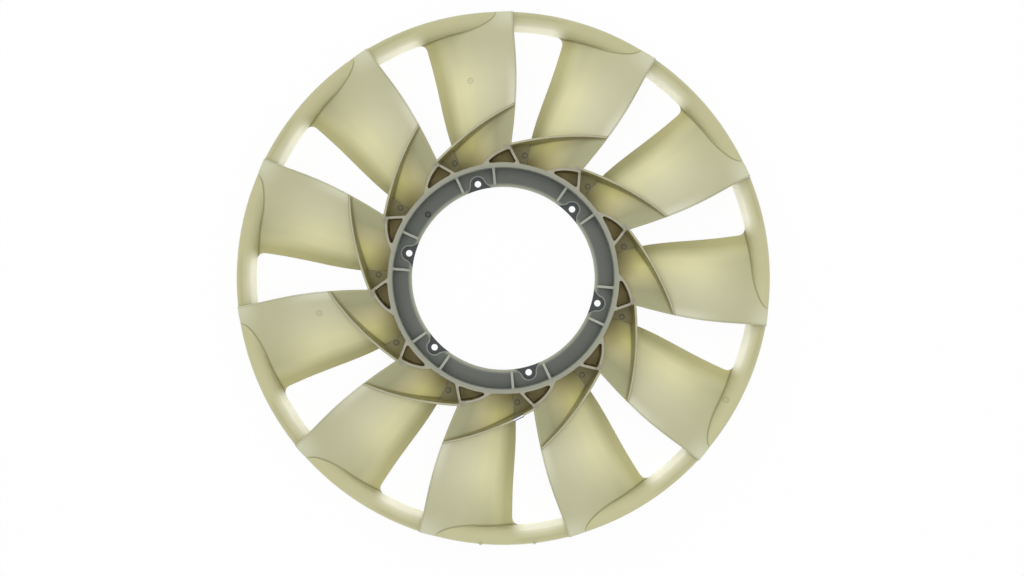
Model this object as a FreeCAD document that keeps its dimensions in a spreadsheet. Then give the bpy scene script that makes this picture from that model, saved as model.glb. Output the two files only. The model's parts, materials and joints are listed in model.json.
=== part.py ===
import FreeCAD, Part
import math
import os

import Sketcher

# Engine-cooling ring fan: a one-piece moulding round a steel mounting ring.
# The fan axis is +Z and the inlet side faces +Z. Z is zero on the rear mounting face of the steel ring.
# Plan angles run clockwise from +Y, seen from the inlet side, as the fan turns.

Vector = FreeCAD.Vector
ORIGIN = Vector(0, 0, 0)
AXIS = Vector(0, 0, 1)

SIZES = (
    # Outer ring
    ("throat_radius", 354.5, "inside radius of the straight part of the ring"),
    ("lip_overhang", 20.5, "how far the flared lip reaches out past the throat"),
    ("lip_height", 50.0, "front edge of the lip"),
    ("rear_height", -9.0, "rear edges of ring, hub wall and blade roots"),
    ("flare_radius", 24.0, "inside radius of the bell mouth"),
    ("ring_wall", 3.0, "wall of the ring"),
    ("pip_radius", 2.6, "radius of a gate pip on the lip"),
    ("pip_proud", 1.8, "how far a pip stands out of the lip"),
    ("pip_length", 5.0, "length of a pip along the axis"),
    ("pip_angle_near", 173.3, "plan angle of the first pip"),
    ("pip_angle_far", 184.9, "plan angle of the second pip"),
    ("gap_round", 9.5, "rounding between a trailing edge and the ring"),
    # Hub
    ("bore_radius", 131.0, "radius of the main bore"),
    ("flange_width", 25.0, "bore to the inside of the hub wall"),
    ("hub_wall", 7.0, "thickness of the hub wall"),
    ("rim_height", 54.0, "front rim of the hub wall"),
    ("rim_round", 1.4, "rounding of the rim"),
    ("flange_height", 7.0, "front face of the inner flange"),
    ("rear_hook", 1.5, "plastic behind the rebated outer edge of the steel"),
    ("gusset_wall", 3.6, "thickness of a gusset"),
    ("gusset_height", 36.0, "where a gusset meets the hub wall"),
    ("gusset_start", 2.5, "bore to where a gusset runs out"),
    ("gusset_angle", 10.0, "gussets on each side of a lug"),
    ("mark_radius", 4.4, "radius of a round tool mark"),
    ("mark_proud", 0.5, "height of a round tool mark"),
    ("mark_reach", 16.0, "hub wall to the middle of a round tool mark"),
    ("flange_mark_inset", 9.9, "bore to the middle of the flange's tool mark"),
    ("flange_mark_turn", 34.6, "first lug to the flange's tool mark"),
    # Steel mounting ring
    ("lug_count", 6, "number of bolt lugs"),
    ("first_lug_angle", 15.1, "turn of the first lug, counter-clockwise from +Y"),
    ("bolt_inset", 8.4, "bore to the bolt circle"),
    ("bolt_hole_radius", 4.65, "bolt hole radius"),
    ("steel_thickness", 4.0, "thickness of the steel ring"),
    ("steel_step", 4.0, "bore to the inner edge of the steel between lugs"),
    ("steel_cover", 2.0, "outer edge of the steel to the inside of the hub wall"),
    ("steel_lap", 4.0, "how far the plastic reaches behind the steel's outer edge"),
    ("ear_half_width", 21.0, "half width of a lug at the bore"),
    ("window_arch_radius", 10.0, "arch of the window round a bolt hole"),
    ("window_mouth", 20.0, "half width of the window at its mouth"),
    ("window_drop", 11.0, "bolt circle to the window's mouth"),
    ("window_sweep", 26.0, "bend of the window's flanks"),
    ("window_lip", 1.8, "width of the raised lip round a window"),
    ("window_lip_proud", 0.8, "height of the lip over the flange"),
    # Blades
    ("blade_count", 11, "number of blades"),
    ("blade_thickness", 3.6, "thickness of a blade"),
    ("trailing_thickness", 2.4, "thickness at the trailing edge"),
    ("blade_rise", 63.0, "rise from trailing to leading edge"),
    ("camber", 0.4, "how much steeper the trailing half is"),
    ("leading_root", 35.3, "leading edge angle at the hub"),
    ("leading_inner", 36.4, "leading edge angle at a quarter of the span"),
    ("leading_middle", 36.57, "leading edge angle at half of the span"),
    ("leading_outer", 35.7, "leading edge angle at three quarters of the span"),
    ("leading_tip", 34.8, "leading edge angle at the lip"),
    ("trailing_root", 12.0, "trailing edge angle at the hub"),
    ("trailing_inner", 11.6, "trailing edge angle at a quarter of the span"),
    ("trailing_middle", 13.0, "trailing edge angle at half of the span"),
    ("trailing_outer", 14.0, "trailing edge angle at three quarters of the span"),
    ("trailing_tip", 14.4, "trailing edge angle at the lip"),
    # Root pockets and spiral walls
    ("pocket_foot_angle", 22.7, "where the curved rib leaves the hub"),
    ("pocket_apex_angle", 35.6, "plan angle of the pocket's apex"),
    ("pocket_reach", 21.3, "hub wall to the pocket's apex"),
    ("pocket_heel_angle", 40.6, "where the straight rib meets the hub"),
    ("pocket_bulge", 4.7, "bulge of the curved rib"),
    ("rib_wall", 3.4, "thickness of the pocket ribs"),
    ("core_round", 2.5, "inside corner rounding of a pocket"),
    ("spiral_start_reach", 27.0, "hub wall to the outside of the spiral wall at its start"),
    ("spiral_middle_reach", 49.5, "hub wall to the outside of the spiral wall half way"),
    ("spiral_end_reach", 84.5, "hub wall to the outside of the spiral wall at the leading edge"),
    ("spiral_wall", 3.4, "thickness of the spiral wall"),
    ("spiral_proud", 1.2, "height of the spiral wall over the leading edge"),
    ("spiral_round", 1.2, "rounding of the spiral wall's top"),
    # Balance clip
    ("clip_angle", 173.9, "plan angle of the balance clip"),
    ("clip_length", 16.0, "length of the clip along the wall"),
    ("clip_sheet", 0.7, "sheet thickness of the clip"),
    ("clip_leg", 8.0, "depth of the clip's legs"),
    ("clip_clearance", 0.2, "gap between clip and wall"),
)

doc = FreeCAD.newDocument("axial_fan_impeller")
sheet = doc.addObject("Spreadsheet::Sheet", "dimensions")
for row, (alias, value, note) in enumerate(SIZES, start=1):
    sheet.set(f"A{row}", note)
    sheet.set(f"B{row}", str(value))
    sheet.setAlias(f"B{row}", alias)
doc.recompute()


def size(alias):
    return float(sheet.get(alias))


def bound(expression):
    """The value of an expression on the sheet's cells."""
    return float(sheet.evalExpression(expression))


# Radii that follow from the bore and the throat

LIP_RADIUS = "(dimensions.throat_radius + dimensions.lip_overhang)"
HUB_INNER = "(dimensions.bore_radius + dimensions.flange_width)"
HUB_RADIUS = f"({HUB_INNER} + dimensions.hub_wall)"
HUB_MIDDLE = f"({HUB_INNER} + dimensions.hub_wall / 2)"
BOLT_CIRCLE = "(dimensions.bore_radius + dimensions.bolt_inset)"
STEEL_INNER = "(dimensions.bore_radius + dimensions.steel_step)"
STEEL_OUTER = f"({HUB_INNER} - dimensions.steel_cover)"
SEAT_RADIUS = f"({STEEL_OUTER} - dimensions.steel_lap)"
GUSSET_FOOT = "(dimensions.bore_radius + dimensions.gusset_start)"

lip_radius = bound(LIP_RADIUS)
hub_radius = bound(HUB_RADIUS)
hub_middle = bound(HUB_MIDDLE)
apex_radius = hub_radius + size("pocket_reach")
spiral_start_radius = hub_radius + size("spiral_start_reach")
spiral_middle_radius = hub_radius + size("spiral_middle_reach")
spiral_end_radius = hub_radius + size("spiral_end_reach")

# How fine the curves are, and how far pieces reach into each other before they are joined

OVERLAP = 0.5
SEAM_MARGIN = 1.0
NOSE_SHARE = 0.012
THIN_STRETCH = 0.4
SECTION_POINTS = 9
SPIRAL_STATIONS = 9
BLADE_SECTIONS = 7
TANGENT_STEP = 0.005
CLIP_STEP = 0.5
TOUCHING = 0.01
ON_PLANE = 1e-4


# Sketch helpers

def origin_plane(body, role):
    return next(item for item in body.Origin.OriginFeatures if item.Role == role)


def origin_axis(body):
    return (origin_plane(body, "Z_Axis"), [""])


def new_sketch(body, role, name):
    sketch = body.newObject("Sketcher::SketchObject", name)
    sketch.AttachmentSupport = [(origin_plane(body, role), "")]
    sketch.MapMode = "FlatFace"
    return sketch


def hold_point(sketch, item, end, x_expression, y_expression):
    """Tie one end of a sketch line or arc to two expressions; the word axis puts it on that axis."""
    for kind, expression, axis in (("DistanceX", x_expression, -2), ("DistanceY", y_expression, -1)):
        if expression == "axis":
            sketch.addConstraint(Sketcher.Constraint("PointOnObject", item, end, axis))
            continue
        number = sketch.addConstraint(Sketcher.Constraint(kind, -1, 1, item, end, bound(expression)))
        sketch.setExpression(f"Constraints[{number}]", expression)


def circle(sketch, radius, x_expression="axis", y_expression="axis"):
    """A circle whose centre and radius follow expressions."""
    x = 0.0 if x_expression == "axis" else bound(x_expression)
    y = 0.0 if y_expression == "axis" else bound(y_expression)
    item = sketch.addGeometry(Part.Circle(Vector(x, y, 0), AXIS, bound(radius)), False)
    number = sketch.addConstraint(Sketcher.Constraint("Radius", item, bound(radius)))
    sketch.setExpression(f"Constraints[{number}]", radius)
    if x_expression == "axis" and y_expression == "axis":
        sketch.addConstraint(Sketcher.Constraint("Coincident", item, 3, -1, 1))
    else:
        hold_point(sketch, item, 3, x_expression, y_expression)


def outline(sketch, corners):
    """A closed outline. A corner is (x, y), or (x, y, radius, side) where the side after it is an arc
    that bulges to the left (1) or right (-1) of the way to the next corner."""
    def place(corner):
        return Vector(*(0.0 if text == "axis" else bound(text) for text in corner[:2]), 0)

    count = len(corners)
    ends = []
    for number, corner in enumerate(corners):
        start = place(corner)
        finish = place(corners[(number + 1) % count])
        if len(corner) == 2:
            item = sketch.addGeometry(Part.LineSegment(start, finish), False)
            ends.append((item, 1, 2))
            continue
        radius = bound(corner[2])
        chord = finish - start
        left = Vector(-chord.y, chord.x, 0).normalize()
        half = chord.Length / 2
        depth = math.sqrt(max(radius**2 - half**2, 0.0))
        middle = (start + finish) / 2
        centre = middle - left * corner[3] * depth
        first, last = (start, finish) if corner[3] < 0 else (finish, start)
        first_turn = math.atan2(first.y - centre.y, first.x - centre.x)
        last_turn = math.atan2(last.y - centre.y, last.x - centre.x)
        if last_turn < first_turn:
            last_turn += 2 * math.pi
        arc = Part.ArcOfCircle(Part.Circle(centre, AXIS, radius), first_turn, last_turn)
        item = sketch.addGeometry(arc, False)
        ends.append((item, 1, 2) if corner[3] < 0 else (item, 2, 1))
        bend = sketch.addConstraint(Sketcher.Constraint("Radius", item, radius))
        sketch.setExpression(f"Constraints[{bend}]", corner[2])
    for number, corner in enumerate(corners):
        item, start, finish = ends[number]
        following, following_start, _ = ends[(number + 1) % count]
        sketch.addConstraint(Sketcher.Constraint("Coincident", item, finish, following, following_start))
        hold_point(sketch, item, start, corner[0], corner[1])


def new_body(name):
    body = doc.addObject("PartDesign::Body", name)
    body.Label = name
    return body


def pad(body, sketch, name, length, midplane=False):
    feature = body.newObject("PartDesign::Pad", name)
    feature.Profile = sketch
    feature.setExpression("Length", length)
    feature.Midplane = midplane
    return feature


def through_pocket(body, sketch, name):
    feature = body.newObject("PartDesign::Pocket", name)
    feature.Profile = sketch
    feature.Type = "ThroughAll"
    feature.Midplane = True
    return feature


def revolve(body, sketch, name):
    feature = body.newObject("PartDesign::Revolution", name)
    feature.Profile = sketch
    feature.ReferenceAxis = origin_axis(body)
    feature.Angle = 360
    return feature


def pattern_round_axis(body, originals, name, count):
    feature = body.newObject("PartDesign::PolarPattern", name)
    feature.Originals = originals
    feature.Axis = origin_axis(body)
    feature.Angle = 360
    feature.setExpression("Occurrences", count)
    body.Tip = feature
    return feature


# Outer ring: straight throat and a quarter-round bell mouth, one wall thick

FLARE_CENTRE = "(dimensions.throat_radius + dimensions.flare_radius)"


def flare_edge_height(wall):
    """Height over the flare's centre where a surface `wall` outside the throat reaches the lip radius."""
    overhang = f"({FLARE_CENTRE} - {LIP_RADIUS})"
    return f"sqrt((dimensions.flare_radius - {wall})^2 - {overhang}^2)"


FLARE_START = f"(dimensions.lip_height - {flare_edge_height('0')})"

ring = new_body("outer_ring")
ring_sketch = new_sketch(ring, "XZ_Plane", "ring_section")
outline(ring_sketch, [
    ("dimensions.throat_radius", "dimensions.rear_height"),
    ("dimensions.throat_radius", FLARE_START, "dimensions.flare_radius", 1),
    (LIP_RADIUS, "dimensions.lip_height"),
    (LIP_RADIUS, f"{FLARE_START} + {flare_edge_height('dimensions.ring_wall')}",
     "dimensions.flare_radius - dimensions.ring_wall", -1),
    ("dimensions.throat_radius + dimensions.ring_wall", FLARE_START),
    ("dimensions.throat_radius + dimensions.ring_wall", "dimensions.rear_height"),
])
revolve(ring, ring_sketch, "ring_turned")

# Hub wall with its rounded rim

hub = new_body("hub_wall_band")
hub_sketch = new_sketch(hub, "XZ_Plane", "hub_section")
outline(hub_sketch, [
    (HUB_INNER, "dimensions.rear_height"),
    (HUB_RADIUS, "dimensions.rear_height"),
    (HUB_RADIUS, "dimensions.rim_height - dimensions.rim_round", "dimensions.rim_round", -1),
    (f"{HUB_RADIUS} - dimensions.rim_round", "dimensions.rim_height"),
    (f"{HUB_INNER} + dimensions.rim_round", "dimensions.rim_height", "dimensions.rim_round", -1),
    (HUB_INNER, "dimensions.rim_height - dimensions.rim_round"),
])
revolve(hub, hub_sketch, "hub_turned")

# Inner flange with gussets and lug windows

flange = new_body("inner_flange")
flange_sketch = new_sketch(flange, "XZ_Plane", "flange_section")
outline(flange_sketch, [
    ("dimensions.bore_radius", "axis"),
    (HUB_MIDDLE, "axis"),
    (HUB_MIDDLE, "dimensions.flange_height"),
    ("dimensions.bore_radius", "dimensions.flange_height"),
])
revolve(flange, flange_sketch, "flange_turned")

gussets = []
for side, name in ((1, "near"), (-1, "far")):
    gusset_sketch = new_sketch(flange, "YZ_Plane", f"gusset_{name}_section")
    gusset_sketch.setExpression(".AttachmentOffset.Rotation.Angle", f"{side} * dimensions.gusset_angle")
    gusset_sketch.AttachmentOffset = FreeCAD.Placement(
        ORIGIN, FreeCAD.Rotation(Vector(0, 1, 0), side * size("gusset_angle")))
    outline(gusset_sketch, [
        (GUSSET_FOOT, "dimensions.flange_height - dimensions.gusset_wall / 2"),
        (HUB_MIDDLE, "dimensions.flange_height - dimensions.gusset_wall / 2"),
        (HUB_MIDDLE, "dimensions.gusset_height"),
        (GUSSET_FOOT, "dimensions.flange_height + dimensions.gusset_wall / 2"),
    ])
    gussets.append(pad(flange, gusset_sketch, f"gusset_{name}", "dimensions.gusset_wall", midplane=True))
pattern_round_axis(flange, gussets, "all_gussets", "dimensions.lug_count")

MOUTH_HEIGHT = f"{BOLT_CIRCLE} - dimensions.window_drop"


def window_outline(sketch, margin):
    """The window's arch and flared flanks, `margin` outside its edge."""
    arch = f"(dimensions.window_arch_radius + {margin})"
    mouth = f"(dimensions.window_mouth + {margin})"
    sweep = f"(dimensions.window_sweep - {margin})"
    outline(sketch, [
        (f"-{mouth}", MOUTH_HEIGHT, sweep, -1),
        (f"-{arch}", BOLT_CIRCLE, arch, 1),
        ("axis", f"{BOLT_CIRCLE} + {arch}", arch, 1),
        (arch, BOLT_CIRCLE, sweep, -1),
        (mouth, MOUTH_HEIGHT),
        (mouth, f"{MOUTH_HEIGHT} - dimensions.window_drop"),
        (f"-{mouth}", f"{MOUTH_HEIGHT} - dimensions.window_drop"),
    ])


lip_sketch = new_sketch(flange, "XY_Plane", "window_lip_outline")
window_outline(lip_sketch, "dimensions.window_lip")
lip = pad(flange, lip_sketch, "window_lip_raised", "dimensions.flange_height + dimensions.window_lip_proud")
pattern_round_axis(flange, [lip], "all_window_lips", "dimensions.lug_count")
window_sketch = new_sketch(flange, "XY_Plane", "window_outline")
window_outline(window_sketch, "0")
window = through_pocket(flange, window_sketch, "window")
pattern_round_axis(flange, [window], "all_windows", "dimensions.lug_count")

# One round tool mark on the flange, and the bore cut clear of the lips

flange_mark_sketch = new_sketch(flange, "XY_Plane", "flange_mark_outline")
FLANGE_MARK_RADIUS = "(dimensions.bore_radius + dimensions.flange_mark_inset)"
circle(flange_mark_sketch, "dimensions.mark_radius",
       f"-{FLANGE_MARK_RADIUS} * sin(dimensions.flange_mark_turn)",
       f"{FLANGE_MARK_RADIUS} * cos(dimensions.flange_mark_turn)")
pad(flange, flange_mark_sketch, "flange_mark", "dimensions.flange_height + dimensions.mark_proud")
flange_bore_sketch = new_sketch(flange, "XY_Plane", "flange_bore_outline")
circle(flange_bore_sketch, "dimensions.bore_radius")
through_pocket(flange, flange_bore_sketch, "flange_bore")
flange.setExpression(".Placement.Rotation.Angle", "dimensions.first_lug_angle")

# Steel mounting ring with its six bored lugs, its outer edge rebated at the rear for the plastic

steel = new_body("steel_mounting_ring")
band_sketch = new_sketch(steel, "XY_Plane", "band_outline")
circle(band_sketch, STEEL_OUTER)
circle(band_sketch, STEEL_INNER)
pad(steel, band_sketch, "band", "dimensions.steel_thickness")
ear_sketch = new_sketch(steel, "XY_Plane", "lug_outline")
EAR_NOSE = "dimensions.bore_radius - dimensions.steel_thickness"
outline(ear_sketch, [
    ("-dimensions.ear_half_width", EAR_NOSE),
    ("-dimensions.ear_half_width", BOLT_CIRCLE),
    ("dimensions.ear_half_width", BOLT_CIRCLE),
    ("dimensions.ear_half_width", EAR_NOSE),
])
ear = pad(steel, ear_sketch, "lug", "dimensions.steel_thickness")
pattern_round_axis(steel, [ear], "all_lugs", "dimensions.lug_count")
rebate_sketch = new_sketch(steel, "XY_Plane", "rebate_outline")
circle(rebate_sketch, STEEL_OUTER)
circle(rebate_sketch, SEAT_RADIUS)
rebate = steel.newObject("PartDesign::Pocket", "rear_rebate")
rebate.Profile = rebate_sketch
rebate.setExpression("Length", "dimensions.rear_hook")
rebate.Reversed = True
bore_sketch = new_sketch(steel, "XY_Plane", "bore_outline")
circle(bore_sketch, "dimensions.bore_radius")
through_pocket(steel, bore_sketch, "bore")
hole_sketch = new_sketch(steel, "XY_Plane", "bolt_hole_outline")
circle(hole_sketch, "dimensions.bolt_hole_radius", "axis", BOLT_CIRCLE)
hole = through_pocket(steel, hole_sketch, "bolt_hole")
pattern_round_axis(steel, [hole], "all_bolt_holes", "dimensions.lug_count")
steel.setExpression(".Placement.Rotation.Angle", "dimensions.first_lug_angle")
doc.recompute()

# Blade surface

LEADING = [size(f"leading_{place}") for place in ("root", "inner", "middle", "outer", "tip")]
TRAILING = [size(f"trailing_{place}") for place in ("root", "inner", "middle", "outer", "tip")]
PITCH = 360 / size("blade_count")
LAY = (LEADING[0] + TRAILING[0]) / 2


def edge_angle(angles, radius):
    """Plan angle of a blade edge: the smooth curve through its five evenly spaced stations."""
    last = len(angles) - 1
    place = (radius - hub_radius) / (lip_radius - hub_radius) * last
    total = 0.0
    for number, angle in enumerate(angles):
        weight = math.prod((place - other) / (number - other) for other in range(last + 1) if other != number)
        total += weight * angle
    return total


def plan_point(radius, angle, height=0.0):
    turn = math.radians(angle)
    return Vector(radius * math.sin(turn), radius * math.cos(turn), height)


def blade_height(share):
    """Height of the blade's middle surface at a share of the way from trailing to leading edge."""
    start = size("rear_height") + size("blade_thickness") / 2
    return start + size("blade_rise") * (share + size("camber") * share * (1 - share))


def blade_middle(distance, share):
    """Point of the middle surface in the plane square to the blade at `distance` from the axis."""
    angle = LAY
    for _ in range(4):
        radius = distance / math.cos(math.radians(angle - LAY))
        trailing = edge_angle(TRAILING, radius)
        angle = trailing + share * (edge_angle(LEADING, radius) - trailing)
    return Vector(distance * math.tan(math.radians(angle - LAY)), distance, blade_height(share))


def blade_skin(distance, share, turn):
    """Point half a thickness off the middle surface, `turn` radians from its front side to its nose."""
    ahead = blade_middle(distance, share + TANGENT_STEP)
    along = (ahead - blade_middle(distance, share - TANGENT_STEP)).normalize()
    across = Vector(-along.z, 0, along.x)
    thin = size("trailing_thickness")
    full = size("blade_thickness")
    half = (thin + (full - thin) * min(1.0, share / THIN_STRETCH)) / 2
    return blade_middle(distance, share) + (across * math.cos(turn) + along * math.sin(turn)) * half


def blade_section(distance):
    """Closed section of the blade: front side, round leading nose, rear side, round trailing nose."""
    turns = [math.pi * k / (SECTION_POINTS - 1) for k in range(SECTION_POINTS)]
    shares = [NOSE_SHARE + (1 - 2 * NOSE_SHARE) * (1 - math.cos(turn)) / 2 for turn in turns]
    front = [blade_skin(distance, share, 0) for share in shares]
    rear = [blade_skin(distance, share, math.pi) for share in reversed(shares)]
    front_curve = Part.BSplineCurve()
    front_curve.interpolate(front)
    rear_curve = Part.BSplineCurve()
    rear_curve.interpolate(rear)
    leading_tip = blade_skin(distance, shares[-1], math.pi / 2)
    trailing_tip = blade_skin(distance, shares[0], -math.pi / 2)
    wire = Part.Wire([
        front_curve.toShape(),
        Part.Arc(front[-1], leading_tip, rear[0]).toShape(),
        rear_curve.toShape(),
        Part.Arc(rear[-1], trailing_tip, front[0]).toShape(),
    ])
    wire.rotate(ORIGIN, AXIS, -LAY)
    return wire


def ring_side(offset, top):
    """Solid of revolution that holds all between the hub wall's middle and `offset` into the ring."""
    centre = size("throat_radius") + size("flare_radius")
    bend = size("flare_radius") - offset
    flare_start = bound(FLARE_START)
    reach = math.acos((centre - lip_radius) / bend)
    start = Vector(centre - bend, 0, flare_start)
    middle = Vector(centre - bend * math.cos(reach / 2), 0, flare_start + bend * math.sin(reach / 2))
    finish = Vector(lip_radius, 0, flare_start + bend * math.sin(reach))
    low = size("rear_height")
    path = Part.Wire([
        Part.makeLine(Vector(hub_middle, 0, low), Vector(start.x, 0, low)),
        Part.makeLine(Vector(start.x, 0, low), start),
        Part.Arc(start, middle, finish).toShape(),
        Part.makeLine(finish, Vector(finish.x, 0, top)),
        Part.makeLine(Vector(finish.x, 0, top), Vector(hub_middle, 0, top)),
        Part.makeLine(Vector(hub_middle, 0, top), Vector(hub_middle, 0, low)),
    ])
    return Part.Face(path).revolve(ORIGIN, AXIS, 360)


def upright(face, low, high):
    """Upright solid on a plan face, from one height to another."""
    solid = face.extrude(Vector(0, 0, high - low))
    solid.translate(Vector(0, 0, low))
    return solid


# Spiral wall that stands on each blade

SPIRAL_START = size("pocket_apex_angle") - PITCH
SPIRAL_END = edge_angle(LEADING, spiral_end_radius)
SPIRAL_TOP = blade_height(1) + size("blade_thickness") / 2 + size("spiral_proud")


def spiral_radius(angle):
    """Outside radius of the spiral wall: a parabola through its start, middle and end."""
    share = (angle - SPIRAL_START) / (SPIRAL_END - SPIRAL_START)
    bend = 2 * (spiral_start_radius + spiral_end_radius - 2 * spiral_middle_radius)
    return spiral_start_radius + (spiral_end_radius - spiral_start_radius - bend) * share + bend * share**2


def spiral_curve(inset, first, last):
    """Plan curve that runs `inset` inside the spiral wall's outer face."""
    curve = Part.BSplineCurve()
    angles = [first + (last - first) * k / (SPIRAL_STATIONS - 1) for k in range(SPIRAL_STATIONS)]
    curve.interpolate([plan_point(spiral_radius(angle) - inset, angle) for angle in angles])
    return curve.toShape()


def spiral_wall():
    """The wall's upright solid from the rear plane to its rounded top."""
    first = SPIRAL_START - math.degrees(size("spiral_wall") / spiral_start_radius)
    last = SPIRAL_END - math.degrees(size("spiral_wall") / 4 / spiral_end_radius)
    outer = spiral_curve(0, first, last)
    inner = spiral_curve(size("spiral_wall"), first, last)
    ends = [Part.makeLine(outer.Vertexes[k].Point, inner.Vertexes[k].Point) for k in (0, 1)]
    plan = Part.Face(Part.Wire([outer, ends[1], inner, ends[0]]))
    wall = upright(plan, size("rear_height"), SPIRAL_TOP)
    top_edges = [edge for edge in wall.Edges if edge.BoundBox.ZMin > SPIRAL_TOP - TOUCHING]
    top_edges = sorted(top_edges, key=lambda edge: edge.Length)[-2:]
    return wall.makeFillet(size("spiral_round"), top_edges)


def root_shelf():
    """Flat strip between hub, pocket and trailing edge, inside the spiral wall."""
    last = edge_angle(TRAILING, spiral_start_radius) + OVERLAP
    heel = plan_point(hub_middle, size("pocket_heel_angle") - PITCH)
    middle = plan_point(hub_middle, (size("pocket_heel_angle") - PITCH + TRAILING[0]) / 2)
    foot = plan_point(hub_middle, TRAILING[0] + OVERLAP)
    curve = spiral_curve(size("spiral_wall") / 2, SPIRAL_START, last)
    start, finish = (vertex.Point for vertex in curve.Vertexes)
    apex = plan_point(apex_radius, size("pocket_apex_angle") - PITCH)
    plan = Part.Face(Part.Wire([
        curve,
        Part.makeLine(finish, foot),
        Part.Arc(foot, middle, heel).toShape(),
        Part.makeLine(heel, apex),
        Part.makeLine(apex, start),
    ]))
    low = size("rear_height")
    return upright(plan, low, low + size("blade_thickness"))


def gap_corner():
    """Web that rounds the corner of the air gap between the trailing edge and the ring."""
    radius = size("throat_radius")
    corner = plan_point(radius, edge_angle(TRAILING, radius))
    inward = radius - 2 * size("gap_round")
    along_edge = (plan_point(inward, edge_angle(TRAILING, inward)) - corner).normalize()
    along_ring = Vector(-corner.y, corner.x, 0).normalize()
    half_angle = along_edge.getAngle(along_ring) / 2
    reach = size("gap_round") / math.tan(half_angle)
    bisector = (along_edge + along_ring).normalize()
    at_edge = corner + along_edge * reach
    at_ring = corner + along_ring * reach
    deepest = corner + bisector * (size("gap_round") / math.sin(half_angle) - size("gap_round"))
    into_blade = AXIS.cross(along_edge)
    into_ring = Vector(corner).normalize() * size("ring_wall") / 2
    sunk = size("trailing_thickness") / 2
    plan = Part.Face(Part.Wire([
        Part.Arc(at_edge, deepest, at_ring).toShape(),
        Part.makeLine(at_ring, at_ring + into_ring),
        Part.makeLine(at_ring + into_ring, corner + into_ring + into_blade * sunk),
        Part.makeLine(corner + into_ring + into_blade * sunk, at_edge + into_blade * sunk),
        Part.makeLine(at_edge + into_blade * sunk, at_edge),
    ]))
    low = size("rear_height")
    return upright(plan, low, low + size("blade_thickness"))


def pocket_outline(offset):
    """Face of the triangular pocket, its rib centrelines moved outwards by `offset`."""
    hub_side = hub_radius - size("rib_wall") / 2
    foot = plan_point(hub_side, size("pocket_foot_angle"))
    apex = plan_point(apex_radius, size("pocket_apex_angle"))
    heel = plan_point(hub_side, size("pocket_heel_angle"))
    along = (foot + apex) / 2
    bulge = along + Vector(along).normalize() * size("pocket_bulge")
    hub_middle = plan_point(hub_side, (size("pocket_foot_angle") + size("pocket_heel_angle")) / 2)
    wire = Part.Wire([
        Part.Arc(foot, bulge, apex).toShape(),
        Part.makeLine(apex, heel),
        Part.Arc(heel, hub_middle, foot).toShape(),
    ])
    return Part.Face(wire).makeOffset2D(offset)


def blade_with_root():
    """One blade with its spiral wall, shelf and pocket, ready to be patterned."""
    # The loft starts inside the hub wall and ends past the lip, and is then cut to both
    inner = hub_radius - 2 * size("hub_wall")
    outer = lip_radius + 4 * size("ring_wall")
    wires = [blade_section(inner + (outer - inner) * k / (BLADE_SECTIONS - 1)) for k in range(BLADE_SECTIONS)]
    whole = Part.makeLoft(wires, True, False)
    clear_height = SPIRAL_TOP + size("blade_rise")
    body = whole.common(ring_side(size("ring_wall") / 2, clear_height))

    # A blade's leading corner ends below the hub rim
    below_rim = size("rim_height") - 2 * size("rim_round")
    body = body.cut(Part.makeCylinder(hub_radius + size("rib_wall") / 2, clear_height, Vector(0, 0, below_rim)))

    # The rear side of the loft is the face whose middle lies lowest under the front side
    sides = sorted(whole.Faces, key=lambda face: face.Area)[-2:]
    rear = min(sides, key=lambda face: face.CenterOfMass.z)
    below = rear.extrude(Vector(0, 0, -clear_height))
    wall = spiral_wall().cut(below)

    rib_half = size("rib_wall") / 2
    block = upright(pocket_outline(rib_half), size("rear_height"), size("rim_height"))
    floor = size("rear_height") + size("blade_thickness")
    core = upright(pocket_outline(-rib_half), floor, clear_height)
    upright_edges = [edge for edge in core.Edges if edge.BoundBox.ZLength > clear_height - floor - TOUCHING]
    core = core.makeFillet(size("core_round"), upright_edges)

    mark_angle = (size("pocket_heel_angle") - PITCH + TRAILING[0]) / 2 + OVERLAP
    mark_centre = plan_point(hub_radius + size("mark_reach"), mark_angle, floor)
    mark = Part.makeCylinder(size("mark_radius"), size("mark_proud") * 2,
                             mark_centre - Vector(0, 0, size("mark_proud")))
    return body.fuse([wall, root_shelf(), block, mark, gap_corner()]).cut(core)


def turned(shape, steps):
    """A copy of the shape, moved on by whole blade pitches."""
    copy = shape.copy()
    copy.rotate(ORIGIN, AXIS, -PITCH * steps)
    return copy


def one_sector():
    """One pitch of the wheel, cut out between two radial planes, and the plan angle where it starts."""
    first = size("pocket_heel_angle") - PITCH + SEAM_MARGIN
    reach = 2 * lip_radius
    low = 2 * size("rear_height")
    corners = [ORIGIN] + [plan_point(reach, first + PITCH * k / 2) for k in range(3)] + [ORIGIN]
    wedge = upright(Part.Face(Part.makePolygon(corners)), low, SPIRAL_TOP + size("blade_rise"))
    blade = blade_with_root()
    pieces = [ring.Shape, hub.Shape] + [turned(blade, steps) for steps in (-1, 0, 1)]
    inside = [piece.common(wedge) for piece in pieces]
    solids = [solid for piece in inside for solid in piece.Solids]
    return solids[0].multiFuse(solids[1:]), first


def lies_on_plane(face, angle):
    """Whether a face is part of the radial cutting plane at a plan angle."""
    across = plan_point(1, angle + 90)
    return all(abs(vertex.Point.dot(across)) < ON_PLANE for vertex in face.Vertexes)


def wheel():
    """All sectors side by side, their cutting planes left out, sewn to one solid."""
    sector, first = one_sector()
    skins = [face for face in sector.Faces
             if not lies_on_plane(face, first) and not lies_on_plane(face, first + PITCH)]
    faces = [turned(face, steps) for steps in range(int(size("blade_count"))) for face in skins]
    shell = Part.Shell(faces)
    shell.sewShape()
    return Part.Solid(shell)


wheel_form = doc.addObject("Part::Feature", "ring_hub_and_blades")
wheel_form.Shape = wheel()

# Two gate pips on the lip

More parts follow.
